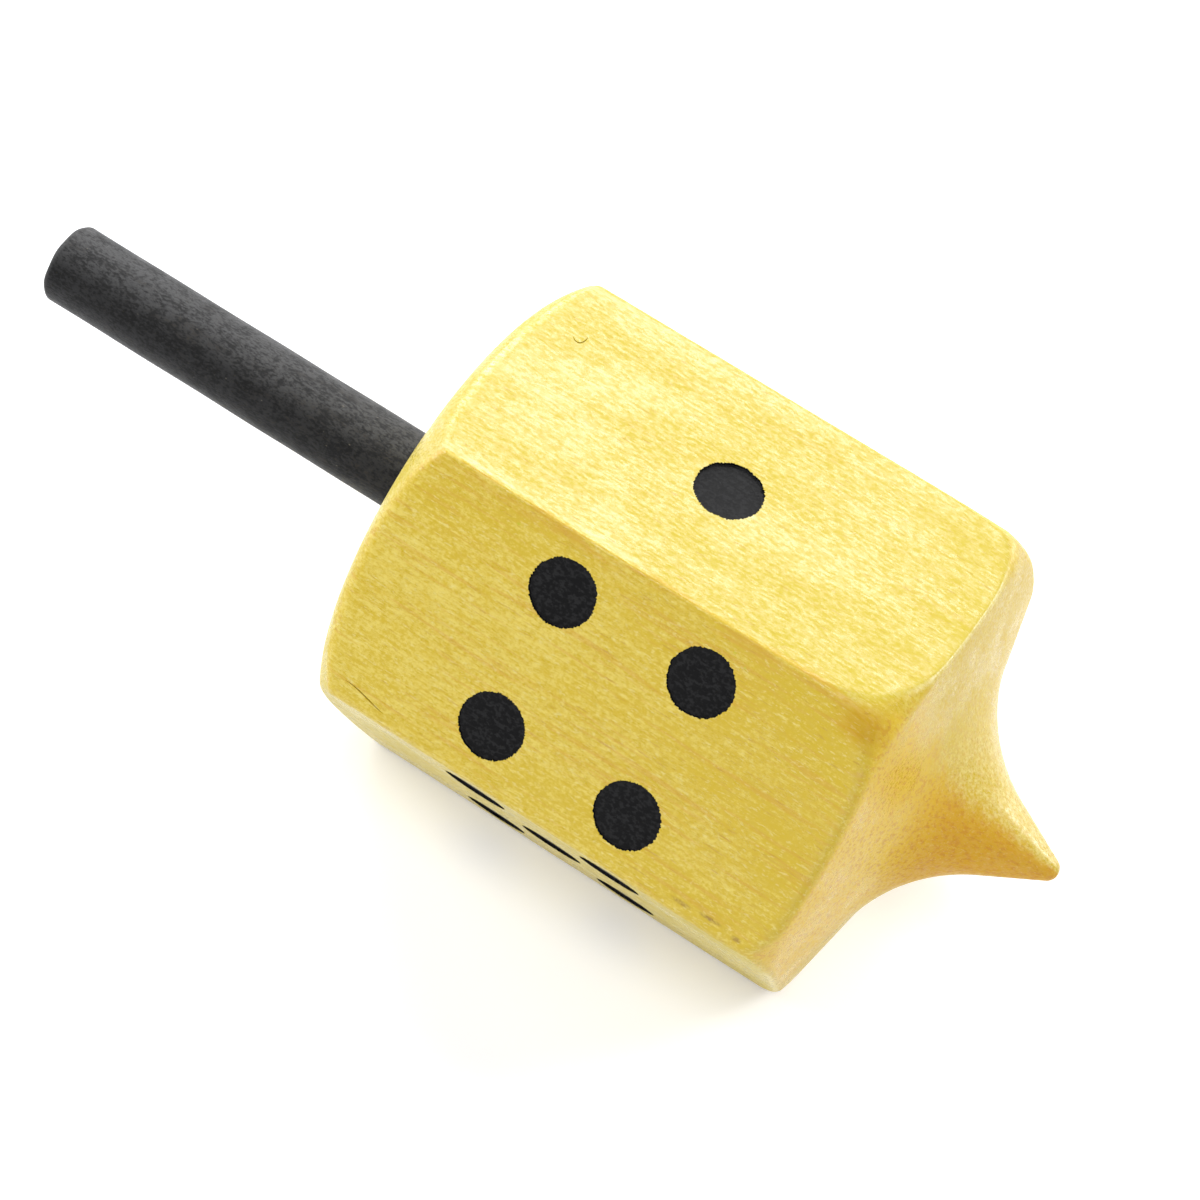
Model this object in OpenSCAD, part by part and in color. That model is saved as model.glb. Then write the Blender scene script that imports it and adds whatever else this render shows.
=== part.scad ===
// Dice spinning top: a six-sided wooden body with stamped pips, a turned point and a dowel stem.
// It lies on the side with six pips. The spin axis runs along X, with the point towards +X.
// The origin is under the middle of its length, on the surface that it lies on.

/* [Body] */
// Width of the body across two opposite flats
across_flats = 28; // [27:0.5:33]
// Length of the body, from the flat stem end to the tip of the point
body_l = 42; // [41:0.5:44]
// Distance from the flat stem end to where the rim at the point end begins to round
rim_start = 29.4; // [28.4:0.2:29.6]
// Rounding of the six long edges
edge_r = 0.5; // [0.2:0.1:1]
// Rounding of the shoulder at the stem end
shoulder_r = 6.2; // [5:0.1:9]
// How far the shoulder's rounding would reach out past the long edges
shoulder_reach = 1.05; // [0.2:0.05:1.5]

/* [Point] */
// Rounding of the rim at the point end
rim_r = 2.5; // [1.5:0.1:3]
// Slope of the end face behind the rim, from square to the axis, in degrees
face_slope = 12.5; // [9:0.5:13]
// Radius of the hollow flare between the end face and the point
flare_r = 9.9; // [7:0.1:10]
// Half of the point's cone angle, in degrees
point_slope = 27.3; // [25:0.1:29]
// Radius of the rounded tip
tip_r = 0.75; // [0.4:0.05:1]

/* [Stem] */
// Diameter of the bare dowel
dowel_d = 5; // [4:0.5:6]
// Thickness of the black coat on the part that shows
coat_t = 0.05; // [0.03:0.01:0.1]
// Length of the stem that stands out of the body
stem_l = 28; // [20:0.5:36]
// How much less the radius of the bare tenon in the body is than the dowel's
tenon_step = 0.25; // [0.2:0.05:0.5]
// Length of the tenon
tenon_l = 15; // [10:0.5:18]
// Gap for glue all round the tenon
glue_gap = 0.02; // [0.01:0.01:0.02]
// Rounding of the stem's free end
stem_edge_r = 0.4; // [0.2:0.1:0.8]

/* [Pips] */
// Diameter of a pip
pip_d = 4; // [3:0.1:4.2]
// Distance between neighbouring corner pips, centre to centre
pip_pitch = 9.1; // [8:0.1:9.6]
// Distance along the axis between the pips of the six
six_pitch = 6; // [5:0.1:7]
// Depth of a stamped recess
recess_t = 0.2; // [0.2:0.05:0.4]
// Thickness of the pigment in a recess
pigment_t = 0.1; // [0.05:0.05:0.15]
// Shift of all but the single pip from the middle of their side towards the point
group_shift = 0.25; // [0:0.05:0.6]
// Turn of the four from square to the edges, in degrees
four_skew = -1.3; // [-3:0.1:3]

/* [Hidden] */
$fn = 96;
arc_step = 7.5;

WOOD = "#e3c54f";
COAT = "#2e2e2f";
PIGMENT = "#1d1d1e";

apothem = across_flats / 2;
corner_r = apothem / cos(30);
stem_end_r = corner_r + shoulder_reach - shoulder_r;
total_l = body_l + stem_l;
stem_end_x = total_l / 2 - body_l;
stem_r = dowel_d / 2 + coat_t;
tenon_r = dowel_d / 2 - tenon_step;
bore_r = tenon_r + glue_gap;
drill_point = 59;
chamfer = 0.5;
margin = 1;

// Sides in the order in which they follow each other round the axis, from the top one
SIDES = [1, 4, 5, 6, 3, 2];
half = pip_pitch / 2;
DIAGONAL = [[-half, half], [half, -half]];
CORNERS = [for (x = [-half, half], y = [-half, half]) [x, y]];
function pip_places(number) =
    number == 1 ? [[0, 0]] :
    number == 2 ? DIAGONAL :
    number == 3 ? concat(DIAGONAL, [[0, 0]]) :
    number == 4 ? [for (p = CORNERS) turned(p, four_skew)] :
    number == 5 ? concat(CORNERS, [[0, 0]]) :
    [for (x = [-six_pitch, 0, six_pitch], y = [-half, half]) [x, y]];
function turned(p, a) = [p.x * cos(a) - p.y * sin(a), p.x * sin(a) + p.y * cos(a)];

// Outline of the point end as [radius, distance from the stem end]. The end face and the cone of the
// point are tangent to the rim and the tip, and the flare's circle is tangent to both.
face_normal = [sin(face_slope), cos(face_slope)];
cone_normal = [cos(point_slope), sin(point_slope)];
rim_c = [corner_r - rim_r, rim_start];
tip_c = [0, body_l - tip_r];
face_start = rim_c + rim_r * face_normal;
cone_end = tip_c + tip_r * cone_normal;
flare_c = meeting_point(face_normal, face_normal * face_start + flare_r,
                        cone_normal, cone_normal * cone_end + flare_r);

// Points along an arc between two angles
function arc(centre, r, from, to) =
    let (steps = ceil(abs(to - from) / arc_step))
    [for (k = [0:steps])
        let (a = from + (to - from) * k / steps)
        centre + r * [cos(a), sin(a)]];

// Where the lines n * p = c and m * p = d meet
function meeting_point(n, c, m, d) =
    [c * m.y - d * n.y, n.x * d - m.x * c] / (n.x * m.y - n.y * m.x);

// Middle of a flat along the axis, half way between where the shoulder and the end face cut it
shoulder_cut = shoulder_r - sqrt(pow(shoulder_r, 2) - pow(apothem - stem_end_r, 2));
face_cut = face_start.y + (face_start.x - apothem) * tan(face_slope);
flat_mid = (shoulder_cut + face_cut) / 2;

// Lays what is modelled upright, with the stem end of the body at height 0, along the X axis
module lay_down() {
    translate([stem_end_x, 0, apothem])
        rotate([0, 90, 0])
            children();
}

// Puts what is modelled flat where the pips of this number have their middle, on their side
module on_side(number) {
    place = search(number, SIDES)[0];
    shift = number == 1 ? 0 : group_shift;
    translate([stem_end_x + flat_mid + shift, 0, apothem])
        rotate([60 * place, 0, 0])
            translate([0, 0, apothem])
                children();
}

// Hexagon with rounded corners, one corner towards +Y
module rounded_hexagon() {
    reach = (apothem - edge_r) / cos(30);
    polygon([for (a = [0:60:300]) each arc(reach * [cos(a + 30), sin(a + 30)], edge_r, a, a + 60)]);
}

// Half outline of the turned shape that trims the hexagon at both ends
module turned_outline() {
    polygon(concat([[0, 0]],
                   arc([stem_end_r, shoulder_r], shoulder_r, -90, 0),
                   arc(rim_c, rim_r, 0, 90 - face_slope),
                   arc(flare_c, flare_r, 270 - face_slope, 180 + point_slope),
                   arc(tip_c, tip_r, point_slope, 90)));
}

module bore() {
    translate([0, 0, -margin])
        cylinder(r = bore_r, h = tenon_l + chamfer + margin);
    translate([0, 0, tenon_l + chamfer])
        cylinder(r1 = bore_r, r2 = 0, h = bore_r / tan(drill_point));
}

module body() {
    color(WOOD)
        difference() {
            lay_down()
                difference() {
                    intersection() {
                        linear_extrude(body_l + margin)
                            rounded_hexagon();
                        rotate_extrude()
                            turned_outline();
                    }
                    bore();
                }
            for (number = SIDES) {
                on_side(number)
                    discs(number, pip_d / 2, -recess_t, margin);
            }
        }
}

// Dowel with a coated, rounded end outside and a bare tenon in the body, whose shoulder seats on the flat end
module stem() {
    color(COAT)
        lay_down()
            rotate_extrude()
                polygon(concat([[0, -stem_l]],
                               arc([stem_r - stem_edge_r, stem_edge_r - stem_l], stem_edge_r, -90, 0),
                               [[stem_r, 0],
                                [tenon_r, 0],
                                [tenon_r, tenon_l - chamfer],
                                [tenon_r - chamfer, tenon_l],
                                [0, tenon_l]]));
}

// A disc at each pip of this number, from one height to another above the side
module discs(number, r, low, high) {
    for (p = pip_places(number)) {
        translate([p.x, p.y, low])
            cylinder(r = r, h = high - low);
    }
}

// The pigment of one side's pips, on the floors of their recesses
module pips(number) {
    color(PIGMENT)
        on_side(number)
            discs(number, pip_d / 2 - glue_gap, -recess_t, pigment_t - recess_t);
}

module pip_one() { pips(1); }
module pips_two() { pips(2); }
module pips_three() { pips(3); }
module pips_four() { pips(4); }
module pips_five() { pips(5); }
module pips_six() { pips(6); }

body();
stem();
pip_one();
pips_two();
pips_three();
pips_four();
pips_five();
pips_six();
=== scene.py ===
import math
from types import SimpleNamespace

import bpy
import numpy as np
from mathutils import Matrix, Vector


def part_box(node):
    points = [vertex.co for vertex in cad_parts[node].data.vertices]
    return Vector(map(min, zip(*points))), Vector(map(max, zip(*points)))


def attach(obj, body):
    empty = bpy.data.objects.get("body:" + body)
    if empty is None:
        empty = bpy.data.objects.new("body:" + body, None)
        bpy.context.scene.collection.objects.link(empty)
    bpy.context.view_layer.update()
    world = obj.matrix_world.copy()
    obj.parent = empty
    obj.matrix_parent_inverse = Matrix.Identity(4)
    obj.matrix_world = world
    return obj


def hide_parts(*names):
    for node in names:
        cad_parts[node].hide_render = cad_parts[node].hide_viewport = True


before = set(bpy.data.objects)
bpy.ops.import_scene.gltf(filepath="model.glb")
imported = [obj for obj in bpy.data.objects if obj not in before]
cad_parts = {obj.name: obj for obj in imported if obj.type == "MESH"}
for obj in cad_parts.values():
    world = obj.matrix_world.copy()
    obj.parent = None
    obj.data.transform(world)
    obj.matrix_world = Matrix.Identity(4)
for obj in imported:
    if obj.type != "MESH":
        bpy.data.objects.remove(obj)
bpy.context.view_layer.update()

# Sizes are in millimetres until a mesh is made
MM = 0.001
ROOT = "root"
SIDES = 6
SIDE_ANGLE = 2 * math.pi / SIDES
HALF_SIDE = SIDE_ANGLE / 2

# Gap round the tenon in its bore and round a pip's pigment in its recess, as in the solids
GAP = 0.02

# Sizes that the frame gives
body_low, body_high = (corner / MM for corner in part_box("body"))
stem_low, stem_high = (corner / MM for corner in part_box("stem"))
pip_low, pip_high = (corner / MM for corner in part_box("pip_one"))
APOTHEM = (body_high.z - body_low.z) / 2
CORNER_R = APOTHEM / math.cos(HALF_SIDE)
STEM_END_X = body_low.x
BODY_L = body_high.x - body_low.x
STEM_R = (stem_high.z - stem_low.z) / 2
STEM_L = STEM_END_X - stem_low.x
TENON_L = stem_high.x - STEM_END_X
PIP_D = pip_high.x - pip_low.x + 2 * GAP

# Turned ends of the body, its bore and the tenon, as in the solids
SHOULDER_R = 6.2
SHOULDER_REACH = 1.05
STEM_END_R = CORNER_R + SHOULDER_REACH - SHOULDER_R
RIM_START = 29.4
RIM_R = 2.5
FACE_SLOPE = math.radians(12.5)
FLARE_R = 9.9
POINT_SLOPE = math.radians(27.3)
TIP_R = 0.75
TIP_END_X = STEM_END_X + RIM_START
TENON_R = 2.25
TENON_CHAMFER = 0.5
BORE_R = TENON_R + GAP
BORE_SPARE = 0.5
BORE_L = TENON_L + BORE_SPARE
DRILL_POINT = math.radians(59)

# Softness of the edges: the six long edges start with the one between the sides with one and four pips
EDGE_R = (0.28, 0.6, 0.55, 0.55, 0.6, 0.42)
EDGE_WEAR = 0.09
END_ROUND = (1.8, 0.4, 0.35, 0.35, 0.35, 0.6)
END_REACH = 4.0
SHOULDER_SOFT = (1.1, 0.7, 0.7, 0.8, 0.8, 0.9)
SHOULDER_CORNER = (0.25, 0.25, 0.25, 0.25, 0.25, 0.25)
RIM_SOFT = (0.22, 0.7, 0.5, 0.5, 0.5, 0.5)
RIM_CORNER = (1.5, 0.25, 0.25, 0.25, 0.25, 0.8)
CORNER_FROM = 0.2

# Columns of the body's skin, and its rows in the order in which they follow each other
FLAT_COLUMNS = 24
EDGE_COLUMNS = 10
BORE_ROWS = 4
MOUTH_ROWS = 2
END_ROWS = 8
INNER_ROWS = 10
SHOULDER_ROWS = 8
SOFT_ROWS = 7
FLAT_ROWS = 90
RIM_ROWS = 10
FACE_ROWS = 6
FLARE_ROWS = 24
CONE_ROWS = 14
TIP_ROWS = 10

# Bore's mouth: last row of the bore, depth and width of the mouth, and where the flat end's rows start
BORE_TOP = 0.4
MOUTH_DEPTH = 0.15
MOUTH_WIDTH = 0.1
END_FROM = 0.3

# Rows are full circles within this radius. Outside it, the sections at these distances trim them.
INNER_R = 0.9 * APOTHEM
SHOULDER_SECTION = 2.5
RIM_SECTION = RIM_START + 1
ARC_POINTS = 400
FACE_POINTS = 100

# Pips
PIP_SEGMENTS = 256
PIP_APART = 0.6
PIP_INNER = -PIP_D / 4
PIP_GROWTH = 0.015
PIP_RAG = 0.016
PIP_TEETH = 0.036
PIP_FILLET = 0.06
FILLET_POINTS = 5
FILM_T = 0.03
FILM_GAP = 0.004
FILM_LIP = 0.012
CUTTER_TOP = 0.4

# Grooves in the sides: side counted round from the top, width, depth, and points along the axis and across
NICK = (0, 0.13, 0.11, ((-3.41, -3.74), (-2.98, -3.52), (-2.74, -3.75), (-2.72, -4.25)))
SPLIT = (1, 0.13, 0.11, ((-3.82, 6.88), (-2.9, 6.96), (-1.8, 7.22), (-0.97, 7.39)))
GROOVE_POINTS = 24
GROOVE_TOP = 0.05
GROOVE_END = 0.05

# Stem: its skin, rings on its free end, the rubbed edge there, its unevenness, and the tenon's last ring
STEM_COLUMNS = 112
STEM_ROWS = 80
STEM_RINGS = (0.5, 1.0, 1.5, 1.8)
BEVEL = 0.5
BEVEL_UNEVEN = 0.04
BEVEL_POINTS = 9
BEVEL_CLEAR = 0.9
STEM_SLACK = 0.012
STEM_SWELL = 0.008
STEM_LUMPS = 0.004
STEM_TWIST = 0.1
TENON_RING = 0.8

# Waves along a length: how many, and between which numbers a millimetre
EDGE_WAVES = (7, 0.05, 0.9)
LENGTH_WAVES = (6, 0.02, 0.2)

# Waves round a circle: how many, and the number a turn that they stay below
RAG_WAVES = (8, 14)
TEETH_WAVES = (24, 100)
ROUND_WAVES = (5, 9)
LEAST_A_TURN = 2

# Angle from which an edge is drawn sharp
SHARP = math.radians(38)

# Camera, from the photograph's lines: where it stands, which way it looks and how far it leans
CAMERA_AT = Vector((47.71, -127.92, 182.84))
CAMERA_AZIMUTH = math.radians(18.88)
CAMERA_ELEVATION = math.radians(51.436)
CAMERA_ROLL = math.radians(16.822)
CAMERA_LENS = 111.13
CAMERA_CLIP = 1

# Floor and surroundings
FLOOR_HALF = 1500
FLOOR_DROP = -0.02
FLOOR_WHITE = 0.94
FLOOR_GLOW = (0.26, 0.27, 0.31, 1)
AMBIENT = 0.1

# Lamps: azimuth and elevation in degrees, width, height and level of each panel
LAMP_AIM = Vector((5, 0, APOTHEM))
LAMP_DISTANCE = 600
LAMPS = (("back", 199, 49, 220, 300, 5.8),
         ("right", 140, 35, 260, 260, 7.8),
         ("rear", 230, 25, 250, 250, 8.2),
         ("low", 169, 9, 500, 160, 3.5),
         ("left", 280, 22, 400, 400, 4.3),
         ("top", 15, 66, 480, 200, 5.0),
         ("front", 19, 14, 520, 220, 2.2))

SEED = 7
rng = np.random.default_rng(SEED)


def waves(count, lowest, highest):
    """Smooth random function of one value, within about -1 to 1, from waves of these numbers a unit."""
    rates = rng.uniform(lowest, highest, count)
    starts = rng.uniform(0, 2 * math.pi, count)

    def at(value):
        value = np.asarray(value, float)[..., None]
        return np.sin(2 * math.pi * rates * value + starts).sum(-1) / math.sqrt(count)
    return at


def ring_waves(count, highest):
    """Smooth random function of an angle, within about -1 to 1, that closes round a circle."""
    rates = rng.integers(LEAST_A_TURN, highest, count)
    starts = rng.uniform(0, 2 * math.pi, count)

    def at(angle):
        return np.sin(rates * np.asarray(angle, float)[..., None] + starts).sum(-1) / math.sqrt(count)
    return at


def around(angle):
    """Direction in a section as (y, z), at an angle from the top side towards the side with four."""
    return np.stack([-np.sin(angle), np.cos(angle)], -1)


def in_frame(v, section):
    """Points in metres from distances from the body's stem end and places in the section."""
    return np.stack([STEM_END_X + v, section[..., 0], APOTHEM + section[..., 1]], -1) * MM


def new_mesh(name, points, faces):
    """Object in the scene with a mesh of its own."""
    mesh = bpy.data.meshes.new(name)
    mesh.from_pydata(points.tolist(), [], faces.tolist())
    mesh.update()
    made = bpy.data.objects.new(name, mesh)
    bpy.context.scene.collection.objects.link(made)
    return made


def new_piece(name, points, faces, material, slot):
    """Piece of the visual model, riding on the part's only body."""
    piece = new_mesh(name, points, faces)
    piece.data.materials.append(material)
    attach(piece, ROOT)
    return piece


def smooth(piece):
    """Draws a piece smooth but for its real edges."""
    piece.data.polygons.foreach_set("use_smooth", [True] * len(piece.data.polygons))
    piece.data.set_sharp_from_angle(angle=SHARP)


def sleeve(rows, ends):
    """Closed skin of rows of points with a fan on both ends, as points and triangles that look outwards."""
    count, columns = rows.shape[:2]
    points = np.concatenate([rows.reshape(-1, 3), ends])
    here = np.arange(columns)
    then = (here + 1) % columns
    last = (count - 1) * columns
    faces = [np.stack([np.full(columns, count * columns), then, here], -1),
             np.stack([np.full(columns, count * columns + 1), last + here, last + then], -1)]
    for low in range(0, last, columns):
        faces.append(np.stack([low + here, low + then, low + columns + then], -1))
        faces.append(np.stack([low + here, low + columns + then, low + columns + here], -1))
    faces = np.concatenate(faces)
    a, b, c = (points - points.mean(0))[faces.T]
    inwards = (a * np.cross(b, c)).sum() < 0
    return points, faces[:, ::-1] if inwards else faces


def joined(skins):
    """Points and triangles of several closed skins as one."""
    starts = np.cumsum([0] + [len(points) for points, _ in skins])
    faces = [start + some for start, (_, some) in zip(starts, skins)]
    return np.concatenate([points for points, _ in skins]), np.concatenate(faces)


def arc(centre, radius, start, end, count):
    """Points along an arc as (radius from the axis, distance from the stem end)."""
    angle = np.linspace(start, end, count)
    return np.stack([centre[0] + radius * np.cos(angle), centre[1] + radius * np.sin(angle)], -1)


def corner_curve(start, corner, end, count):
    """Rounded corners, one for each column, as points between start and end without these."""
    u = np.linspace(0, 1, count + 2)[1:-1, None, None]
    return (1 - u) ** 2 * start + 2 * u * (1 - u) * corner + u ** 2 * end


class Path:
    """Turned outline that is followed by length, where the radius only grows or only falls."""

    def __init__(self, points):
        self.points = points
        steps = np.linalg.norm(np.diff(points, axis=0), axis=1)
        self.length = np.concatenate([[0], np.cumsum(steps)])

    def at(self, s):
        return np.stack([np.interp(s, self.length, self.points[:, k]) for k in (0, 1)], -1)

    def where_radius(self, r):
        radii, length = self.points[:, 0], self.length
        if radii[0] > radii[-1]:
            radii, length = radii[::-1], length[::-1]
        return np.interp(r, radii, length)


# Columns of the body's skin: across each flat, then round the long edge that follows it
flat_share = (1 - np.cos(np.linspace(0, math.pi, FLAT_COLUMNS + 1))) / 2
edge_turn = np.linspace(0, SIDE_ANGLE, EDGE_COLUMNS + 1)[1:-1]
column_side = np.repeat(np.arange(SIDES), FLAT_COLUMNS + EDGE_COLUMNS)
column_share = np.tile(np.concatenate([flat_share, np.full(EDGE_COLUMNS - 1, np.nan)]), SIDES)
column_turn = np.tile(np.concatenate([np.full(FLAT_COLUMNS + 1, np.nan), edge_turn]), SIDES)
COLUMNS = len(column_side)
edge_noise = [waves(*EDGE_WAVES) for _ in range(SIDES)]


def edge_radius(number, v):
    """Radius of a long edge, worn unevenly along its length and more towards the point."""
    radius = np.zeros_like(v)
    near_end = np.clip((v - RIM_START) / END_REACH + 1, 0, 1)
    for k in range(SIDES):
        worn = EDGE_R[k] * (1 + EDGE_WEAR * edge_noise[k](v)) + END_ROUND[k] * near_end ** 2
        radius = np.where(number % SIDES == k, worn, radius)
    return radius


def hexagon(v):
    """Section points of every column at its distances v, of shape (rows, columns)."""
    side = np.broadcast_to(column_side, v.shape)
    share = np.broadcast_to(column_share, v.shape)
    turn = np.broadcast_to(column_turn, v.shape)
    middle = side * SIDE_ANGLE
    before = (APOTHEM - edge_radius(side - 1, v)) * math.tan(HALF_SIDE)
    radius = edge_radius(side, v)
    after = (APOTHEM - radius) * math.tan(HALF_SIDE)
    across = share * after - (1 - share) * before
    flat = APOTHEM * around(middle) + across[..., None] * around(middle + math.pi / 2)
    centre = ((APOTHEM - radius) / math.cos(HALF_SIDE))[..., None] * around(middle + HALF_SIDE)
    edge = centre + radius[..., None] * around(middle + turn)
    return np.where(np.isnan(share)[..., None], edge, flat)


def section_at(v):
    """Radius and direction of every column in the section at one distance."""
    section = hexagon(np.full((1, COLUMNS), v))[0]
    radius = np.linalg.norm(section, axis=-1)
    return radius, section / radius[:, None]


def by_side(values, corners):
    """Softness of an end's edge for the columns: one value for each side, another at each long edge."""
    section = hexagon(np.full((1, COLUMNS), BODY_L / 2))[0]
    angle = np.arctan2(-section[:, 0], section[:, 1]) / SIDE_ANGLE
    off = angle - np.round(angle)
    side = np.round(angle).astype(int) % SIDES
    near_edge = np.clip((np.abs(off) - CORNER_FROM) / (0.5 - CORNER_FROM), 0, 1) ** 2
    edge = np.floor(angle).astype(int) % SIDES
    return np.array(values)[side] * (1 - near_edge) + np.array(corners)[edge] * near_edge


def ring(outline, way):
    """Rows of full circles from an outline."""
    return in_frame(np.repeat(outline[:, 1:], COLUMNS, 1), outline[:, :1, None] * way)


def trimmed(outline, way):
    """Rows from an outline that differs from column to column."""
    return in_frame(outline[..., 1], outline[..., :1] * way)


def stem_end_rows():
    """Rows of the bore, the flat end and the shoulder, and where the flats start in each column."""
    rho, way = section_at(SHOULDER_SECTION)
    centre = (STEM_END_R, SHOULDER_R)
    inner_turn = -math.acos((INNER_R - STEM_END_R) / SHOULDER_R)
    shoulder = Path(arc(centre, SHOULDER_R, inner_turn, 0, ARC_POINTS))

    bore = np.linspace((BORE_R, BORE_L), (BORE_R, BORE_TOP), BORE_ROWS)
    mouth = np.linspace((BORE_R, MOUTH_DEPTH), (BORE_R + MOUTH_WIDTH, 0), MOUTH_ROWS)
    flat_end = np.linspace((BORE_R + END_FROM, 0), (STEM_END_R, 0), END_ROWS)
    inner_shoulder = arc(centre, SHOULDER_R, -math.pi / 2, inner_turn, INNER_ROWS)[1:]
    full = ring(np.concatenate([bore, mouth, flat_end, inner_shoulder]), way)

    soft = by_side(SHOULDER_SOFT, SHOULDER_CORNER)
    s_edge = shoulder.where_radius(rho)
    edge = shoulder.at(s_edge)
    s_soft = s_edge - soft
    shoulder_rows = shoulder.at(np.linspace(0, 1, SHOULDER_ROWS)[1:, None] * s_soft)
    flat_from = edge[:, 1] + soft
    soft_rows = corner_curve(shoulder.at(s_soft), edge, np.stack([rho, flat_from], -1), SOFT_ROWS)
    return [full, trimmed(np.concatenate([shoulder_rows, soft_rows]), way)], flat_from


def point_end_rows():
    """Rows of the rim, end face, flare, cone and tip, and where the flats end in each column."""
    rho, way = section_at(RIM_SECTION)
    face_normal = np.array([math.sin(FACE_SLOPE), math.cos(FACE_SLOPE)])
    cone_normal = np.array([math.cos(POINT_SLOPE), math.sin(POINT_SLOPE)])
    rim_c = np.array([CORNER_R - RIM_R, RIM_START])
    tip_c = np.array([0, BODY_L - TIP_R])
    face_start = rim_c + RIM_R * face_normal
    cone_end = tip_c + TIP_R * cone_normal
    flare_c = np.linalg.solve([face_normal, cone_normal],
                              [face_normal @ face_start + FLARE_R, cone_normal @ cone_end + FLARE_R])
    face_end = flare_c - FLARE_R * face_normal
    cone_start = flare_c - FLARE_R * cone_normal
    inner_face = face_start + (face_start[0] - INNER_R) * np.array([-1, math.tan(FACE_SLOPE)])
    rim_arc = arc(rim_c, RIM_R, 0, math.pi / 2 - FACE_SLOPE, ARC_POINTS)
    rim = Path(np.concatenate([rim_arc, np.linspace(face_start, inner_face, FACE_POINTS)[1:]]))

    crisp = by_side(RIM_SOFT, RIM_CORNER)
    s_rim = rim.where_radius(rho)
    rim_edge = rim.at(s_rim)
    flat_to = rim_edge[:, 1] - crisp
    s_crisp = s_rim + crisp
    crisp_rows = corner_curve(np.stack([rho, flat_to], -1), rim_edge, rim.at(s_crisp), SOFT_ROWS)
    rim_rows = rim.at(s_crisp + np.linspace(0, 1, RIM_ROWS)[:, None] * (rim.length[-1] - s_crisp))
    turned = np.concatenate([
        np.linspace(inner_face, face_end, FACE_ROWS)[1:],
        arc(flare_c, FLARE_R, 1.5 * math.pi - FACE_SLOPE, math.pi + POINT_SLOPE, FLARE_ROWS)[1:],
        np.linspace(cone_start, cone_end, CONE_ROWS)[1:],
        arc(tip_c, TIP_R, POINT_SLOPE, math.pi / 2, TIP_ROWS)[1:-1]])
    return [trimmed(np.concatenate([crisp_rows, rim_rows]), way), ring(turned, way)], flat_to


def make_body(material):
    """Body as one skin from the bottom of the bore round to the tip."""
    stem_rows, flat_from = stem_end_rows()
    point_rows, flat_to = point_end_rows()
    v = flat_from + np.linspace(0, 1, FLAT_ROWS)[:, None] * (flat_to - flat_from)
    rows = np.concatenate([*stem_rows, in_frame(v, hexagon(v)), *point_rows])
    bore_end = BORE_L + BORE_R / math.tan(DRILL_POINT)
    ends = in_frame(np.array([bore_end, BODY_L]), np.zeros((2, 2)))
    body = new_piece("wood_body", *sleeve(rows, ends), material, "dyed_wood")
    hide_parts("body")
    return body


def pip_groups():
    """For each node of pips: their centres on the flat, its outward direction and the recesses' depth."""
    groups = {}
    axis_point = np.array([0, 0, APOTHEM])
    for name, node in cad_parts.items():
        if not name.startswith("pip"):
            continue
        left = np.array([v.co for v in node.data.vertices]) / MM
        middle = left.mean(0)
        side = round(math.atan2(-middle[1], middle[2] - APOTHEM) / SIDE_ANGLE)
        out = np.concatenate([[0], around(np.array(side * SIDE_ANGLE))])
        depth = APOTHEM - ((left - axis_point) @ out).min()
        centres = []
        while len(left):
            guess = left[left[:, 0].argmin()] + (PIP_D / 2, 0, 0)
            near = np.linalg.norm(left - guess, axis=1) < PIP_D / 2 + PIP_APART
            centre = (left[near].min(0) + left[near].max(0)) / 2 - axis_point
            left = left[~near]
            centres.append(axis_point + centre + (APOTHEM - centre @ out) * out)
        groups[name] = (centres, out, depth)
    return groups


def pip_outline():
    """Radius of one pip's ragged outline, as a function of the angle."""
    rag, teeth = ring_waves(*RAG_WAVES), ring_waves(*TEETH_WAVES)

    def radius(angle):
        return PIP_D / 2 + PIP_GROWTH + PIP_RAG * rag(angle) + PIP_TEETH * teeth(angle)
    return radius


def pip_skin(centre, out, radius_of_angle, outline, end_heights):
    """Closed skin from an outline of (radius less the pip's, height over the flat)."""
    angle = np.linspace(0, 2 * math.pi, PIP_SEGMENTS, endpoint=False)
    along = np.array([1.0, 0, 0])
    way = np.cos(angle)[:, None] * along + np.sin(angle)[:, None] * np.cross(out, along)
    radius = radius_of_angle(angle)
    rows = [centre + (radius + inset)[:, None] * way + height * out for inset, height in outline]
    ends = [centre + height * out for height in end_heights]
    return sleeve(np.array(rows) * MM, np.array(ends) * MM)


def hollow(depth, inset):
    """Outline of a stamped recess from its wall to its floor."""
    outline = []
    for turn in np.linspace(0, math.pi / 2, FILLET_POINTS):
        outline.append((inset - PIP_FILLET * (1 - math.cos(turn)),
                        PIP_FILLET - depth - PIP_FILLET * math.sin(turn)))
    return outline


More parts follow.
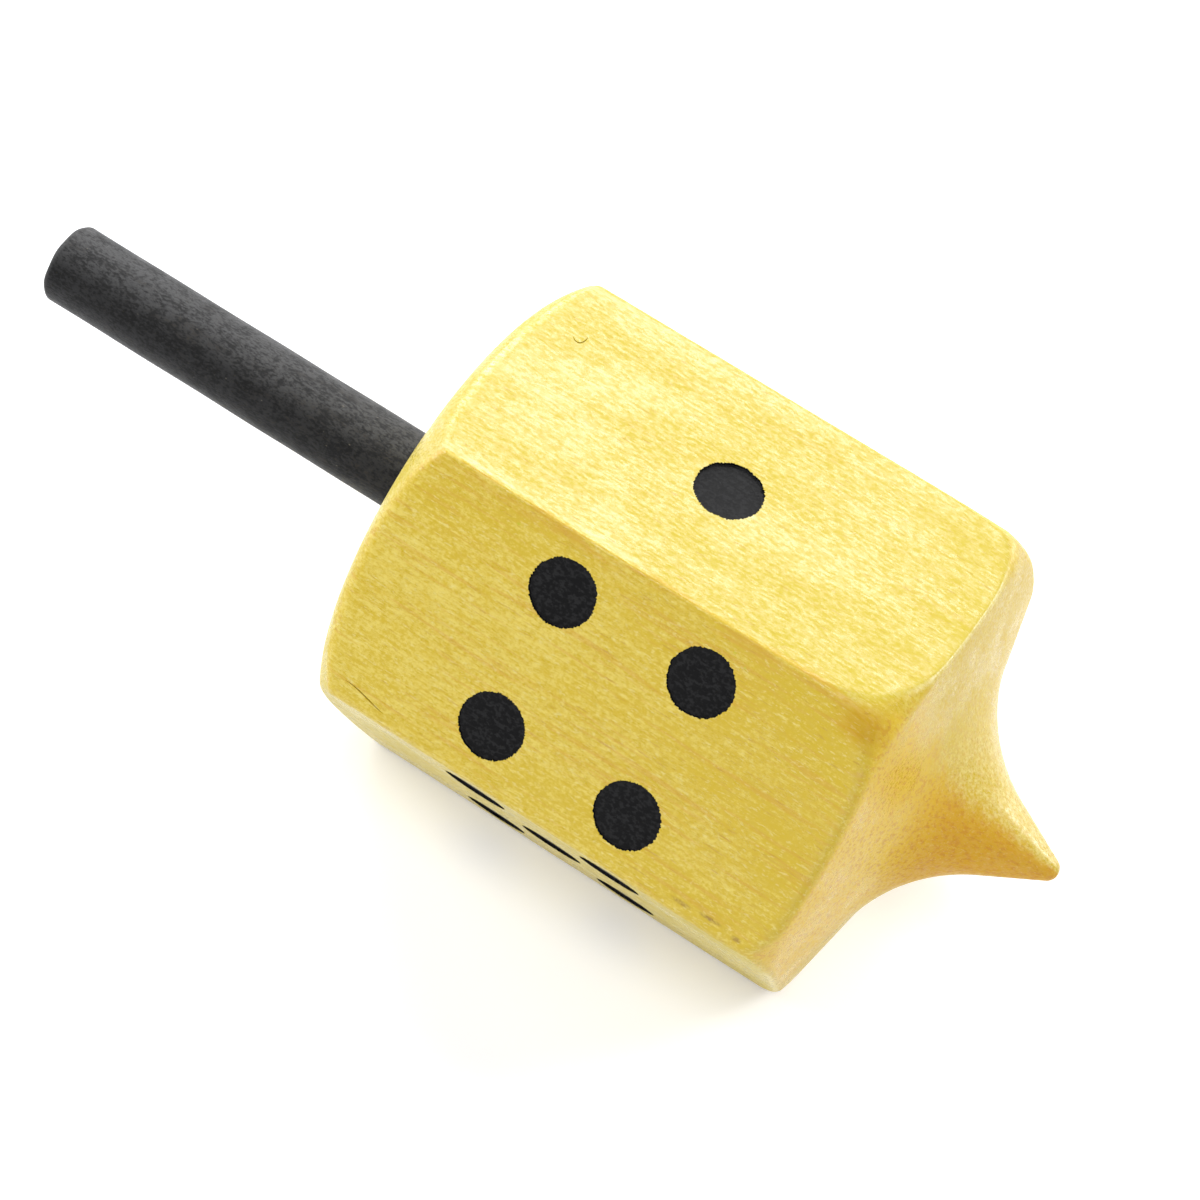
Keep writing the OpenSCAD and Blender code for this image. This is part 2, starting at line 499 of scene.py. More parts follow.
def groove(side, width, depth, points):
    """Spindle with a sharp lower edge, to cut a groove that fades out at both ends."""
    middle = side * SIDE_ANGLE
    knots = np.array(points)
    share = np.linspace(0, 1, GROOVE_POINTS)
    spots = np.linspace(0, 1, len(knots))
    x, across = (np.polyval(np.polyfit(spots, knots[:, k], len(knots) - 1), share) for k in (0, 1))
    way = np.gradient(np.stack([x, across], -1), axis=0)
    way /= np.linalg.norm(way, axis=1)[:, None]
    swell = np.sqrt(np.sin(np.linspace(GROOVE_END, math.pi - GROOVE_END, GROOVE_POINTS)))
    rows = []
    for off, deep in ((-0.5, False), (0, True), (0.5, False), (0, False)):
        level = -depth * swell if deep else np.full(GROOVE_POINTS, GROOVE_TOP)
        at_x = x - off * width * swell * way[:, 1]
        at_across = across + off * width * swell * way[:, 0]
        up = (APOTHEM + level)[:, None] * around(middle)
        rows.append(in_frame(at_x - STEM_END_X, up + at_across[:, None] * around(middle + math.pi / 2)))
    rows = np.stack(rows, 1)
    return sleeve(rows, np.stack([rows[0].mean(0), rows[-1].mean(0)]))


def make_pips(body, material):
    """Cuts the recesses and grooves into the body and lines each recess with its film of pigment."""
    cutters = [groove(*mark) for mark in (NICK, SPLIT)]
    for name, (centres, out, depth) in pip_groups().items():
        recess = [(0, CUTTER_TOP), *hollow(depth, 0), (PIP_INNER, -depth)]
        recess_ends = (CUTTER_TOP, -depth)
        under = [(PIP_INNER, FILM_GAP - depth), *hollow(depth - FILM_GAP, -FILM_GAP)[::-1]]
        lip = [(-FILM_GAP, -FILM_LIP), (-FILM_T, -FILM_LIP)]
        over = [*hollow(depth - FILM_T, -FILM_T), (PIP_INNER, FILM_T - depth)]
        film_ends = (FILM_GAP - depth, FILM_T - depth)
        films = []
        for centre in centres:
            radius = pip_outline()
            cutters.append(pip_skin(centre, out, radius, recess, recess_ends))
            films.append(pip_skin(centre, out, radius, under + lip + over, film_ends))
        film = new_piece("film_" + name, *joined(films), material, "pip_black")
        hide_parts(name)
        smooth(film)
    cutter = new_mesh("pip_cutter", *joined(cutters))
    cut = body.modifiers.new("recesses", "BOOLEAN")
    cut.object = cutter
    cut.solver = "MANIFOLD"
    shaped = bpy.data.meshes.new_from_object(body.evaluated_get(bpy.context.evaluated_depsgraph_get()))
    body.modifiers.clear()
    body.data = shaped
    bpy.data.objects.remove(cutter)
    smooth(body)


def make_stem(material):
    """Dowel from its free end to the end of its tenon, a little uneven, with a rubbed end."""
    angle = np.linspace(0, 2 * math.pi, STEM_COLUMNS, endpoint=False)
    ones = np.ones(STEM_COLUMNS)
    round_noise = ring_waves(*ROUND_WAVES)
    length_noise = waves(*LENGTH_WAVES)
    bevel = BEVEL + BEVEL_UNEVEN * round_noise(angle)
    outline = [(r * ones, -STEM_L * ones) for r in STEM_RINGS]
    for t in np.linspace(0, math.pi / 2, BEVEL_POINTS):
        outline.append((STEM_R - bevel * (1 - math.sin(t)), bevel * (1 - math.cos(t)) - STEM_L))
    for v in np.linspace(BEVEL_CLEAR - STEM_L, 0, STEM_ROWS):
        swell = STEM_SWELL * length_noise(v)
        lumps = STEM_LUMPS * round_noise(angle + STEM_TWIST * v)
        outline.append((np.minimum(STEM_R - STEM_SLACK + swell + lumps, STEM_R), v * ones))
    tenon = ((TENON_R, 0),
             (TENON_R, TENON_CHAMFER),
             (TENON_R, TENON_L - TENON_CHAMFER),
             (TENON_R - TENON_CHAMFER, TENON_L),
             (TENON_RING, TENON_L))
    outline.extend((r * ones, v * ones) for r, v in tenon)
    radius, v = np.array(outline).transpose(1, 0, 2)
    rows = in_frame(v, radius[..., None] * around(angle))
    ends = in_frame(np.array([-STEM_L, TENON_L]), np.zeros((2, 2)))
    stem = new_piece("wood_stem", *sleeve(rows, ends), material, "black_stem")
    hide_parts("stem")
    smooth(stem)


def srgb(r, g, b):
    """Linear colour with alpha from 8-bit sRGB values."""
    def linear(c):
        c /= 255
        return c / 12.92 if c <= 0.04045 else ((c + 0.055) / 1.055) ** 2.4
    return linear(r), linear(g), linear(b), 1.0


class Shader:
    """Short calls for the nodes of one material. Places are in millimetres from the spin axis."""

    def __init__(self, name, gloss):
        self.material = bpy.data.materials.new(name)
        self.material.use_nodes = True
        self.tree = self.material.node_tree
        self.tree.nodes.clear()
        self.surface = self.node("BsdfPrincipled", {"Specular IOR Level": gloss})
        self.node("OutputMaterial", {"Surface": self.surface.outputs[0]})
        place = self.node("TexCoord").outputs["Object"]
        self.place = self.stretch(place, (1 / MM,) * 3, (0, 0, -APOTHEM))

    def node(self, kind, sockets=None, **settings):
        made = self.tree.nodes.new("ShaderNode" + kind)
        for key, value in settings.items():
            setattr(made, key, value)
        for key, value in (sockets or {}).items():
            self.put(made.inputs[key], value)
        return made

    def put(self, socket, value):
        if isinstance(value, bpy.types.NodeSocket):
            self.tree.links.new(value, socket)
        else:
            socket.default_value = value

    def stretch(self, vector, scale, shift=(0, 0, 0)):
        made = self.node("Mapping", {"Vector": vector, "Scale": scale, "Location": shift})
        return made.outputs[0]

    def noise(self, along, across, shift, detail, rough):
        """Noise of these rates a millimetre along and across the fibres."""
        stretched = self.stretch(self.place, (along, across, across), (shift,) * 3)
        sockets = {"Vector": stretched, "Scale": 1.0, "Detail": detail, "Roughness": rough}
        return self.node("TexNoise", sockets).outputs["Fac"]

    def step(self, value, low, high, start=0.0, end=1.0):
        """From start, up to low, to end, from high, and smooth between."""
        made = self.node("MapRange", {0: value, 1: low, 2: high, 3: start, 4: end},
                         interpolation_type="SMOOTHSTEP")
        return made.outputs[0]

    def fade(self, value, low, high):
        """1 up to low, 0 from high, and smooth between."""
        return self.step(value, low, high, 1.0, 0.0)

    def between(self, share, start, end):
        """Start where the share is 0, end where it is 1, and smooth between."""
        return self.step(share, 0.0, 1.0, start, end)

    def calc(self, operation, a, b=0.0):
        return self.node("Math", {0: a, 1: b}, operation=operation).outputs[0]

    def product(self, first, *others):
        for other in others:
            first = self.calc("MULTIPLY", first, other)
        return first

    def total(self, first, *others):
        for other in others:
            first = self.calc("ADD", first, other)
        return first

    def shared(self, values, shares):
        """Each value times its own share."""
        return [self.product(value, share) for value, share in zip(values, shares)]

    def along(self, way):
        """How far the place is in a direction."""
        made = self.node("VectorMath", {0: self.place, 1: tuple(way)}, operation="DOT_PRODUCT")
        return made.outputs["Value"]

    def towards(self, angle):
        """How far the place is from the axis in the direction at an angle from the top side."""
        return self.along((0, *around(angle)))

    def spot(self, point, inner, outer, stretch):
        """1 within the inner distance of a point and 0 from the outer one, in stretched space."""
        place = self.stretch(self.place, stretch)
        middle = tuple(p * k for p, k in zip(point, stretch))
        far = self.node("VectorMath", {0: place, 1: middle}, operation="DISTANCE").outputs["Value"]
        return self.fade(far, inner, outer)

    def mix(self, share, a, b):
        """Colour a where the share is 0, b where it is 1, by the node's colour sockets 6, 7 and 2."""
        made = self.node("Mix", data_type="RGBA")
        self.put(made.inputs[0], share)
        self.put(made.inputs[6], a)
        self.put(made.inputs[7], b)
        return made.outputs[2]

    def finish(self, colour, roughness, height, depth):
        """Links colour, roughness and a bump of this depth in millimetres."""
        bump = self.node("Bump", {"Height": height, "Distance": depth * MM, "Strength": 1.0})
        self.put(self.surface.inputs["Base Color"], colour)
        self.put(self.surface.inputs["Roughness"], roughness)
        self.put(self.surface.inputs["Normal"], bump.outputs[0])
        return self.material


# Colours of the dyed wood: lemon sides, a golden copy painted as shade on the side with four pips, its
# opposite and the rim, marks, rubbed edges whose pale colour also paints highlights, and end grain painted
# darker orange as shade on one half of the point
DYE_PALE = srgb(213, 196, 104)
DYE_DEEP = srgb(196, 174, 2)
SHADE_GOLD_PALE = srgb(224, 202, 90)
SHADE_GOLD_DEEP = srgb(203, 173, 2)
DYE_DARK = srgb(200, 152, 24)
DYE_DROP = srgb(188, 184, 4)
DYE_ORANGE = srgb(212, 146, 30)
FLECK = srgb(234, 222, 150)
PORE = srgb(176, 128, 28)
CRACK = srgb(134, 88, 20)
RUBBED_AND_HIGHLIGHT = srgb(240, 228, 168)
SHADE_TIP_PALE = srgb(226, 188, 36)
SHADE_TIP_STREAK = srgb(207, 152, 3)
TIP_FIBRE = srgb(194, 128, 12)

# Noises of the dyed wood: rates a millimetre along and across the fibres, shift, detail and roughness
BEND = (0.03, 0.1, 3.0, 1, 0.5)
PATCHES = (0.1, 0.3, 11.0, 3, 0.6)
GRAIN = (3.4, 4.6, 61.0, 3, 0.75)
STREAKS = (0.6, 5.5, 0.0, 3, 0.65)
FLECKS = (2.2, 7.0, 23.0, 2, 0.6)
PORES = (0.9, 7.5, 37.0, 1, 0.5)
LINES = (0.11, 2.4, 29.0, 3, 0.65)
FIBRES = (0.4, 3.4, 45.0, 3, 0.7)
RAGS = (1.2, 6.0, 51.0, 3, 0.7)
STRETCHES = (0.14, 0.2, 91.0, 1, 0.5)
GATHERING = (0.2, 1.6, 71.0, 3, 0.7)
DULLING = (1.7, 5.8, 83.0, 3, 0.7)

# Zones of the body: values over which each one sets in, and the brown corner of the rim as a spot
TURNED_BELOW = (0.04, 0.7)
PLAIN_TURNED = (0.0, 0.3)
PAST_RIM_X = (TIP_END_X - 1, TIP_END_X + 1)
ON_SIDE = (APOTHEM - 0.4, APOTHEM - 0.1)
BROWN_CORNER = ((23.2, -8.6, 13.3), 0.3, 1.7, (0.7, 1, 1))

# Layers of growth: rates along the axis, through the layers and across, their bend, and the way across
GROWTH_RATES = (0.02, 0.85, 0.12)
GROWTH_BEND = 3.0
GROWTH_DETAIL = 3.0
GROWTH_ACROSS = 2.5 * SIDE_ANGLE

# Half of the point that faces away from the light and is painted darker orange as shade: its way, shares of
# growth and grain, range, least radius
SHADED_SIDE = math.radians(75)
SHADED_SHARES = (0.5, 0.2)
SHADED_RANGE = (0.75, 1.2)
LEAST_RADIUS = 0.1

# Dye on the sides: shares of growth, patches, grain, streaks and axis in its tone, the axis share deepening
# it towards the point as painted shade, the depth where the golden copy painted as shade covers the rim, and
# brown lines
TONE_SHARES = (0.14, 0.12, 0.43, 0.31, 0.0015)
TAKEN_RANGE = (0.405, 0.575)
SHADE_GOLD_BELOW = (0.0, 0.12)
LINE_RANGE = (0.53, 0.65)
LINE_SHARES = (0.12, 0.5)

# End grain on that half: how far growth and grain move its streaks, where these end, where each grain shows
# the painted shade and the brown corner, and fibres
REACH_SHARES = (3.0, 3.0)
STREAK_RADIUS = (7.0, 11.0)
SHADED_GRAIN = (0.3, 0.6, 0.98, 0.75)
CORNER_GRAIN = (0.3, 0.6, 0.9, 0.6)
FIBRE_RANGE = (0.49, 0.63)
FIBRE_SHARES = (0.2, 0.6)

# Flecks and pores
FLECK_RANGE = (0.58, 0.7)
FLECK_SHARES = (0.42, 0.2)
PORE_RANGE = (0.66, 0.76)
PORE_SHARE = 0.45

# Edges: dye gathered along them on the side with four pips
RAG_WIDTH = 1.8
GATHERED_RANGE = (0.42, 0.6)
GATHERED_WIDTH = (0.8, 1.9)
GATHERED_UP = (10.0, 11.0)
GATHERED_SHARE = 0.7

# Edges: strips that are rubbed pale, with the stretches where they show
STRIP_FROM = (0.12, 0.28)
STRIP_WIDTH = (1.1, 1.7)
STRIP_STRETCH = (0.42, 0.6, 0.1, 1.0)
STRIP_END_X = (TIP_END_X - 6, TIP_END_X - 2)
STRIP_SHARE = 0.55

# Painted highlights: a pale line along the rim over rubbed wear, and a pale patch on the lit half of the
# point
RIM_HIGHLIGHT_FROM = (0.005, 0.03)
RIM_HIGHLIGHT_TO = (0.12, 0.3)
RIM_HIGHLIGHT_OFF_EDGE = (1.5, 4.0)
RIM_HIGHLIGHT_X = (TIP_END_X - 1, TIP_END_X)
RIM_HIGHLIGHT_RAGS = (0.4, 0.6, 0.2, 0.6)
LIT_PATCH_RADIUS = (4.0, 8.0)
LIT_PATCH_GRAIN = (0.35, 0.65, 0.35, 0.0)

# Dark bottoms of the grooves: where along the axis, how deep, how far from a long edge, and by grain
CUT_FROM_X = (STEM_END_X + 2.7, STEM_END_X + 3.0)
CUT_TO_X = (TIP_END_X - 2, TIP_END_X - 1)
CUT_BELOW = (0.01, 0.07)
CUT_OFF_EDGE = (0.4, 0.55)
CUT_GRAIN = (0.35, 0.6, 0.9, 0.45)

# Drops of dye and brown marks: place, how long and how wide, and colour
SPOTS = (((1.23, -8.75, 26.85), 0.35, 0.2, DYE_DROP),
         ((15.11, -8.64, 27.04), 0.3, 0.2, DYE_DROP),
         ((15.98, -8.86, 26.66), 0.25, 0.25, DYE_DROP),
         ((24.28, -8.62, 27.07), 0.3, 0.3, DYE_ORANGE),
         ((19.0, -15.8, 14.64), 1.6, 0.4, CRACK),
         ((20.8, -15.75, 14.73), 1.9, 0.38, CRACK),
         ((22.6, -15.85, 14.55), 0.9, 0.45, CRACK))
SPOT_EDGE = (0.2, 1.0)
SPOT_GRAIN = (0.35, 0.6, 0.3, 0.8)

# Finish of the wood: gloss, what roughens it, and the shares of grain, streaks and pores in its relief
WOOD_GLOSS = 0.7
WOOD_ROUGH = 0.18
DULL_RANGE = (0.38, 0.62)
DULL_SHARES = (0.3, 0.13, 0.1, 0.4)
DRY_SHARES = (-0.04, 0.28)
DRY_RADIUS = (5.5, 8.0)
WOOD_RELIEF = 0.008
RELIEF_SHARES = (0.6, 0.6, -0.3)


def wood_zones(s):
    """Where a place is on the body: distances in millimetres, and shares from 0 to 1."""
    away = [s.calc("ABSOLUTE", s.towards(k * SIDE_ANGLE)) for k in range(SIDES // 2)]
    largest = s.calc("MAXIMUM", s.calc("MAXIMUM", away[0], away[1]), away[2])
    smallest = s.calc("MINIMUM", s.calc("MINIMUM", away[0], away[1]), away[2])
    middle = s.calc("SUBTRACT", s.total(*away), s.calc("ADD", largest, smallest))
    zone = SimpleNamespace()
    zone.x = s.along((1, 0, 0))
    zone.up = s.along((0, 0, 1))
    squares = [s.calc("POWER", value, 2.0) for value in (s.along((0, 1, 0)), zone.up)]
    zone.radius = s.calc("SQRT", s.total(*squares))
    zone.below = s.calc("SUBTRACT", APOTHEM, largest)
    zone.from_edge = s.calc("SUBTRACT", largest, middle)
    zone.turned = s.step(zone.below, *TURNED_BELOW)
    zone.past_rim = s.step(zone.x, *PAST_RIM_X)
    zone.tip_end = s.product(zone.turned, zone.past_rim)
    # Side with four pips and its opposite, where the dye is painted golden as shade
    zone.layers = s.step(away[1], *ON_SIDE)
    zone.four = s.towards(SIDE_ANGLE)
    zone.on_four = s.step(zone.four, *ON_SIDE)
    zone.plain = s.product(s.between(zone.on_four, 1.0, 0.0), s.fade(zone.turned, *PLAIN_TURNED))
    zone.corner = s.spot(*BROWN_CORNER)
    return zone


def wood_grain(s, zone):
    """Layers of growth along the side with four pips, patches, grains, streaks, pores, and the half of the
    point that faces away from the light, which is painted as shade.
    """
    depth = s.total(zone.four, s.product(s.noise(*BEND), GROWTH_BEND))
    places = (zone.x, depth, s.towards(GROWTH_ACROSS))
    layer = s.node("CombineXYZ", dict(enumerate(s.shared(places, GROWTH_RATES))))
    growth = s.node("TexNoise", {"Vector": layer.outputs[0], "Scale": 1.0, "Detail": GROWTH_DETAIL})
    wood = SimpleNamespace()
    wood.growth = growth.outputs["Fac"]
    wood.patches = s.noise(*PATCHES)
    wood.grain = s.noise(*GRAIN)
    wood.streaks = s.noise(*STREAKS)
    wood.pores = s.step(s.noise(*PORES), *PORE_RANGE)
    facing = s.calc("DIVIDE", s.towards(SHADED_SIDE), s.calc("MAXIMUM", zone.radius, LEAST_RADIUS))
    toward_shade = s.total(facing, *s.shared((wood.growth, wood.grain), SHADED_SHARES))
    wood.soaked = s.step(toward_shade, *SHADED_RANGE)
    return wood


def dyed_sides(s, zone, wood):
    """Yellow dye, paler and deeper from grain to grain, with a golden copy painted as shade on the side with
    four pips, its opposite and the rim, and brown lines.
    """
    # The axis share in the tone deepens the dye towards the point: painted shade
    tone = s.total(*s.shared((wood.growth, wood.patches, wood.grain, wood.streaks, zone.x), TONE_SHARES))
    taken = s.step(tone, *TAKEN_RANGE)
    # Golden copy of the dye painted as shade; the lemon dye elsewhere stands for the lit sides
    shaded_gold = s.calc("MAXIMUM", zone.layers, s.product(zone.past_rim, s.step(zone.below, *SHADE_GOLD_BELOW)))
    colour = s.mix(shaded_gold, s.mix(taken, DYE_PALE, DYE_DEEP), s.mix(taken, SHADE_GOLD_PALE, SHADE_GOLD_DEEP))
    lines = s.step(s.noise(*LINES), *LINE_RANGE)
    return s.mix(s.product(lines, s.between(zone.on_four, *LINE_SHARES)), colour, DYE_DARK)


def dyed_point(s, zone, wood, colour):
    """End grain painted darker orange as shade on the half of the point that faces away from the light, a
    brown corner, and fibres that are stronger on that half.
    """
    reach = s.total(zone.radius, *s.shared((wood.growth, wood.grain), REACH_SHARES))
    # Orange end grain, painted shade on the half of the point away from the light
    shaded_end_grain = s.mix(s.step(reach, *STREAK_RADIUS), SHADE_TIP_STREAK, SHADE_TIP_PALE)
    soaked = s.product(zone.tip_end, wood.soaked, s.step(wood.grain, *SHADED_GRAIN))
    colour = s.mix(soaked, colour, shaded_end_grain)
    colour = s.mix(s.product(zone.corner, s.step(wood.grain, *CORNER_GRAIN)), colour, DYE_DARK)
    fibres = s.step(s.noise(*FIBRES), *FIBRE_RANGE)
    return s.mix(s.product(zone.tip_end, fibres, s.between(wood.soaked, *FIBRE_SHARES)), colour, TIP_FIBRE)


def flecks_and_pores(s, zone, wood, colour):
    """Pale flecks, fainter on the point and on the brown corner, and dark pores."""
    flecks = s.step(s.noise(*FLECKS), *FLECK_RANGE)
    faint = s.between(s.total(zone.tip_end, zone.corner), *FLECK_SHARES)
    colour = s.mix(s.product(flecks, faint), colour, FLECK)
    return s.mix(s.product(wood.pores, PORE_SHARE), colour, PORE)


def worn_edges_and_highlights(s, zone, wood, colour):
    """Dye gathered on the side with four pips, other edges rubbed pale, a painted highlight along the rim
    over its wear, and a painted highlight on the lit half of the point.
    """
    ragged = s.noise(*RAGS)
    worn = s.total(zone.from_edge, s.product(ragged, RAG_WIDTH))
    patchy = s.step(s.noise(*GATHERING), *GATHERED_RANGE)
    gathered = s.product(zone.on_four, patchy, s.fade(worn, *GATHERED_WIDTH), s.step(zone.up, *GATHERED_UP))
    colour = s.mix(s.product(gathered, GATHERED_SHARE), colour, DYE_DARK)
    strip = s.product(s.step(zone.from_edge, *STRIP_FROM), s.fade(worn, *STRIP_WIDTH))
    stretches = s.step(s.noise(*STRETCHES), *STRIP_STRETCH)
    wood.rubbed = s.product(strip, zone.plain, stretches, s.fade(zone.x, *STRIP_END_X))
    colour = s.mix(s.product(wood.rubbed, STRIP_SHARE), colour, RUBBED_AND_HIGHLIGHT)
    # Pale line along the rim: painted highlight over rubbed wear
    rim = s.product(zone.plain, s.step(zone.below, *RIM_HIGHLIGHT_FROM), s.fade(zone.below, *RIM_HIGHLIGHT_TO),
                    s.step(zone.from_edge, *RIM_HIGHLIGHT_OFF_EDGE), s.step(zone.x, *RIM_HIGHLIGHT_X))
    colour = s.mix(s.product(rim, s.step(ragged, *RIM_HIGHLIGHT_RAGS)), colour, RUBBED_AND_HIGHLIGHT)
    # Pale patch on the lit half of the point: painted highlight
    lit_patch = s.product(zone.tip_end, s.between(wood.soaked, 1.0, 0.0), s.fade(zone.radius, *LIT_PATCH_RADIUS))
    return s.mix(s.product(lit_patch, s.step(wood.grain, *LIT_PATCH_GRAIN)), colour, RUBBED_AND_HIGHLIGHT)


def marks(s, zone, wood, colour):
    """Dark bottoms of the grooves, drops of dye and brown marks."""
    inside = s.product(s.step(zone.x, *CUT_FROM_X), s.fade(zone.x, *CUT_TO_X))
    cut = s.product(s.step(zone.below, *CUT_BELOW), s.step(zone.from_edge, *CUT_OFF_EDGE), inside)
    colour = s.mix(s.product(cut, s.step(wood.grain, *CUT_GRAIN)), colour, CRACK)
    for (x, y, z), long, wide, tint in SPOTS:
        spot = s.spot((x, y, z - APOTHEM), *SPOT_EDGE, (2 / long, 2 / wide, 2 / wide))
        colour = s.mix(s.product(spot, s.step(wood.grain, *SPOT_GRAIN)), colour, tint)
    return colour


def wood_material():
    """Close-grained wood, dyed yellow, with fibres along the axis."""
    s = Shader("dyed_wood", WOOD_GLOSS)
    zone = wood_zones(s)
    wood = wood_grain(s, zone)
    colour = dyed_sides(s, zone, wood)
    for layer in (dyed_point, flecks_and_pores, worn_edges_and_highlights, marks):
        colour = layer(s, zone, wood, colour)
    dull = s.step(s.noise(*DULLING), *DULL_RANGE)
    blotches = s.step(wood.patches, *DULL_RANGE)
    dry = s.product(zone.tip_end, s.between(wood.soaked, *DRY_SHARES), s.fade(zone.radius, *DRY_RADIUS))
    rough = s.total(*s.shared((dull, blotches, wood.rubbed, zone.corner), DULL_SHARES), dry, WOOD_ROUGH)
    height = s.total(*s.shared((wood.grain, wood.streaks, wood.pores), RELIEF_SHARES))
    return s.finish(colour, rough, height, WOOD_RELIEF)


# Colours of the stained stem
STAIN = srgb(36, 36, 37)
STAIN_DARK = srgb(3, 3, 3)
STAIN_LIT = srgb(77, 77, 78)
STAIN_BROWN = srgb(42, 36, 28)
STAIN_SPECK = srgb(150, 144, 130)

# Noises of the stem, in the same order as the wood's
STEM_BLOTCHES = (0.9, 1.3, 2.0, 4, 0.7)
STEM_GRAIN = (3.2, 6.8, 9.0, 3, 0.7)
STEM_THIN = (0.3, 1.2, 27.0, 3, 0.65)
STEM_SPECKS = (2.6, 5.0, 17.0, 1, 0.5)

# Stain: shares of blotches and grain in its tone, and where it is thin or specked
STAIN_SHARES = (0.42, 0.58)
STAIN_RANGE = (0.43, 0.57)
THIN_RANGE = (0.54, 0.68)
THIN_GRAIN = (0.45, 0.65, 0.0, 0.6)
SPECK_RANGE = (0.77, 0.82)
SPECK_SHARE = 0.5

# Side of the stem, as an angle from the top, that is painted paler as painted light where the lamps fall on
# it
STEM_LIT_SIDE = math.radians(-15)
STEM_LIT_RANGE = (0.36 * STEM_R, STEM_R)
STEM_LIT_TONE = (0.42, 0.58, 0.25, 1.0)

# Finish of the stem: shares of blotches and grain in its roughness and in its relief
STEM_GLOSS = 0.16
STEM_ROUGH = 0.42
STEM_DULL_SHARES = (-0.2, 0.3)
STEM_RELIEF = 0.06
STEM_RELIEF_SHARES = (0.6, 0.7)


def stem_material():
    """Dowel stained black: grainy and blotchy, painted paler on its lit upper side as painted light, brown
    where the stain is thin, with a few pale specks.
    """
    s = Shader("black_stem", STEM_GLOSS)
    blotch = s.noise(*STEM_BLOTCHES)
    grain = s.noise(*STEM_GRAIN)
    thin = s.step(s.noise(*STEM_THIN), *THIN_RANGE)
    speck = s.step(s.noise(*STEM_SPECKS), *SPECK_RANGE)
    tone = s.total(*s.shared((blotch, grain), STAIN_SHARES))
    colour = s.mix(s.step(tone, *STAIN_RANGE), STAIN_DARK, STAIN)
    # Upper side of the stem painted paler: painted light
    lit_side = s.step(s.towards(STEM_LIT_SIDE), *STEM_LIT_RANGE)
    colour = s.mix(s.product(lit_side, s.step(tone, *STEM_LIT_TONE)), colour, STAIN_LIT)
    colour = s.mix(s.product(thin, s.step(grain, *THIN_GRAIN)), colour, STAIN_BROWN)
    colour = s.mix(s.product(speck, SPECK_SHARE), colour, STAIN_SPECK)
    rough = s.total(*s.shared((blotch, grain), STEM_DULL_SHARES), STEM_ROUGH)
    height = s.total(*s.shared((blotch, grain), STEM_RELIEF_SHARES))
    return s.finish(colour, rough, height, STEM_RELIEF)


# Pigment of the pips: colours, noises in the same order as the wood's, and finish
PIGMENT = srgb(2, 2, 3)
PIGMENT_PALE = srgb(30, 30, 31)
PIP_GRAIN = (3.4, 4.6, 4.0, 2, 0.65)
PIP_FIBRES = (0.9, 5.0, 14.0, 2, 0.6)
PIGMENT_SHARES = (0.75, 0.25)
PIGMENT_RANGE = (0.46, 0.6)
PIP_GLOSS = 0.11
PIP_ROUGH = 0.28
PIP_DULL_SHARE = 0.3
PIP_RELIEF = 0.03


def pip_material():
    """Matt black pigment, mottled by the wood under it."""
    s = Shader("pip_black", PIP_GLOSS)
    grain = s.noise(*PIP_GRAIN)
    fibre = s.noise(*PIP_FIBRES)
    tone = s.total(*s.shared((grain, fibre), PIGMENT_SHARES))
    colour = s.mix(s.step(tone, *PIGMENT_RANGE), PIGMENT, PIGMENT_PALE)
    rough = s.total(s.product(grain, PIP_DULL_SHARE), PIP_ROUGH)
    return s.finish(colour, rough, tone, PIP_RELIEF)


def direction(azimuth, elevation):
    """Way from the object to what stands at these angles."""
    level = math.cos(elevation)
    return Vector((math.sin(azimuth) * level, -math.cos(azimuth) * level, math.sin(elevation)))


def make_camera():
    """Camera of the photograph."""
    camera = bpy.data.objects.new("camera", bpy.data.cameras.new("camera"))
    bpy.context.scene.collection.objects.link(camera)
    camera.data.lens = CAMERA_LENS
    camera.data.clip_start = CAMERA_CLIP * MM
    back = direction(CAMERA_AZIMUTH, CAMERA_ELEVATION)
    level = Vector((math.cos(CAMERA_AZIMUTH), math.sin(CAMERA_AZIMUTH), 0))
    right = level * math.cos(CAMERA_ROLL) + back.cross(level) * math.sin(CAMERA_ROLL)
    turn = Matrix((right, back.cross(right), back)).transposed().to_4x4()
    camera.matrix_world = Matrix.Translation(CAMERA_AT * MM) @ turn
    bpy.context.scene.camera = camera


def seen_directly(tree):
    """1 for rays from the camera and mirrored or refracted ones, 0 for the light that falls on surfaces."""
    path = tree.nodes.new("ShaderNodeLightPath")
    share = path.outputs["Is Camera Ray"]
    for kind in ("Is Glossy Ray", "Is Transmission Ray"):
        most = tree.nodes.new("ShaderNodeMath")
        most.operation = "MAXIMUM"
        tree.links.new(share, most.inputs[0])
        tree.links.new(path.outputs[kind], most.inputs[1])
        share = most.outputs[0]
    return share


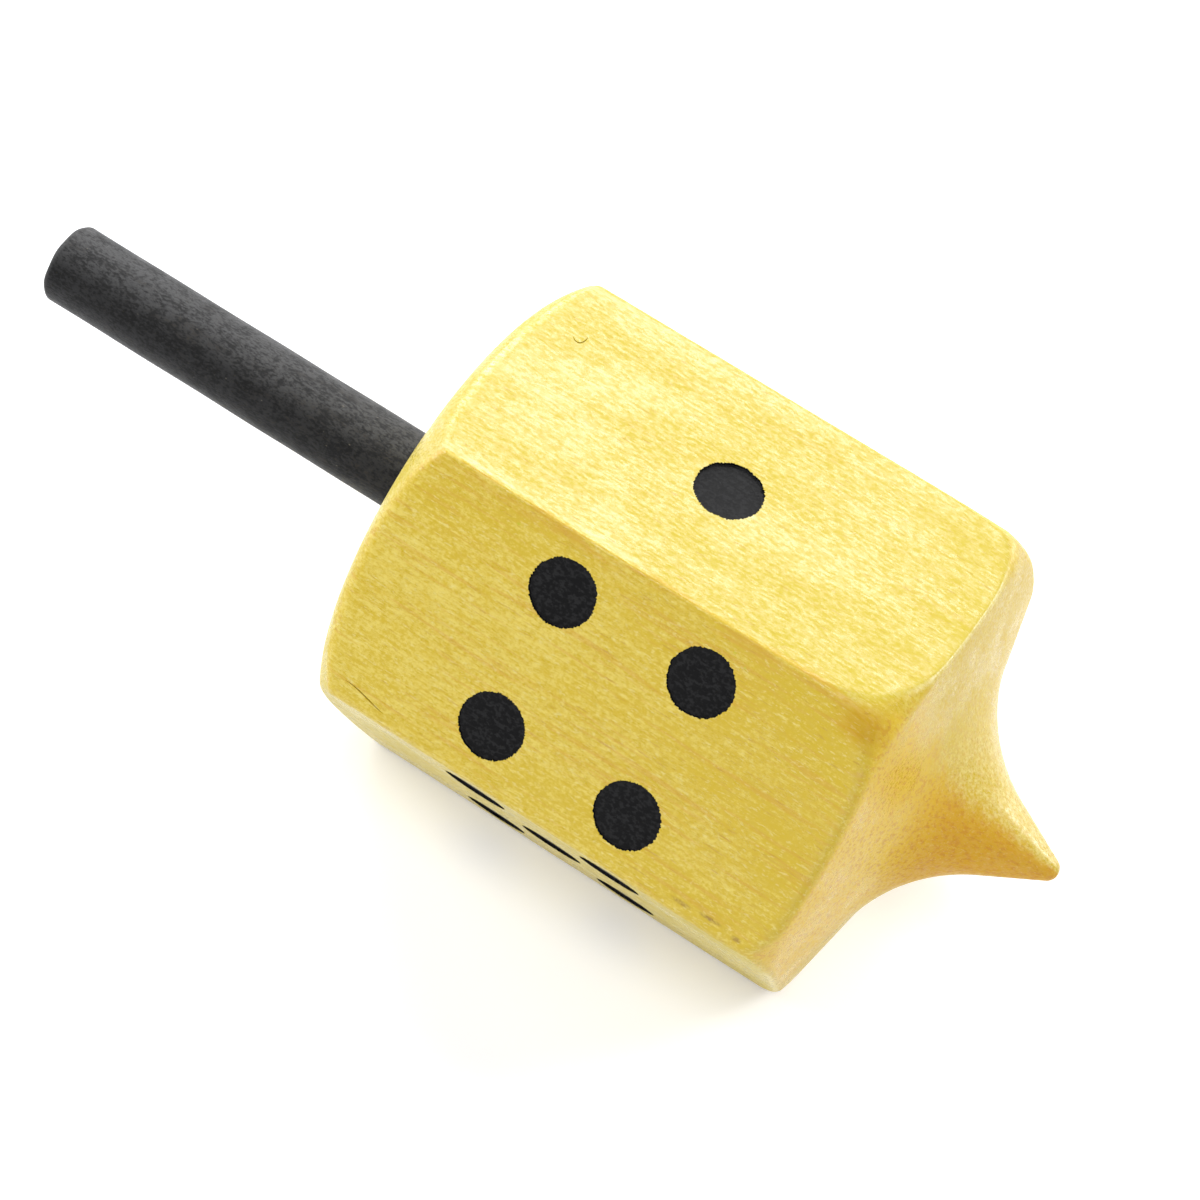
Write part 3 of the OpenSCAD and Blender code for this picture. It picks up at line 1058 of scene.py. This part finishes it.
def make_floor():
    """Plain white floor that keeps the shadow."""
    corners = np.array([(-1, -1, 0), (1, -1, 0), (1, 1, 0), (-1, 1, 0)]) * FLOOR_HALF + (0, 0, FLOOR_DROP)
    floor = new_mesh("floor", corners * MM, np.array([(0, 1, 2, 3)]))
    material = bpy.data.materials.new("floor")
    material.use_nodes = True
    tree = material.node_tree
    tree.nodes.clear()
    diffuse = tree.nodes.new("ShaderNodeBsdfDiffuse")
    diffuse.inputs["Color"].default_value = (FLOOR_WHITE, FLOOR_WHITE, FLOOR_WHITE, 1)
    glow = tree.nodes.new("ShaderNodeEmission")
    glow.inputs["Color"].default_value = FLOOR_GLOW
    tree.links.new(seen_directly(tree), glow.inputs["Strength"])
    both = tree.nodes.new("ShaderNodeAddShader")
    tree.links.new(diffuse.outputs[0], both.inputs[0])
    tree.links.new(glow.outputs[0], both.inputs[1])
    output = tree.nodes.new("ShaderNodeOutputMaterial")
    tree.links.new(both.outputs[0], output.inputs["Surface"])
    floor.data.materials.append(material)


def make_surroundings():
    """Surroundings that are white where they are seen and dim where they light the object."""
    world = bpy.data.worlds.new("studio")
    bpy.context.scene.world = world
    world.use_nodes = True
    tree = world.node_tree
    background = tree.nodes["Background"]
    background.inputs["Color"].default_value = (1, 1, 1, 1)
    level = tree.nodes.new("ShaderNodeMapRange")
    tree.links.new(seen_directly(tree), level.inputs[0])
    level.inputs[3].default_value = AMBIENT
    level.inputs[4].default_value = 1.0
    tree.links.new(level.outputs[0], background.inputs["Strength"])


def make_lamp(name, azimuth, elevation, width, height, level):
    """Panel that faces the object, of this level seen from it, where 1 is as bright as white surroundings."""
    way = direction(math.radians(azimuth), math.radians(elevation))
    lamp = bpy.data.objects.new(name, bpy.data.lights.new(name, "AREA"))
    bpy.context.scene.collection.objects.link(lamp)
    lamp.data.shape = "RECTANGLE"
    lamp.data.size = width * MM
    lamp.data.size_y = height * MM
    lamp.data.energy = math.pi * width * height * MM ** 2 * level
    lamp.location = (LAMP_AIM + LAMP_DISTANCE * way) * MM
    lamp.rotation_euler = way.to_track_quat("Z", "Y").to_euler()


make_camera()
make_floor()
make_surroundings()
for lamp in LAMPS:
    make_lamp(*lamp)
body = make_body(wood_material())
make_pips(body, pip_material())
make_stem(stem_material())
bpy.context.scene.view_settings.view_transform = "Standard"
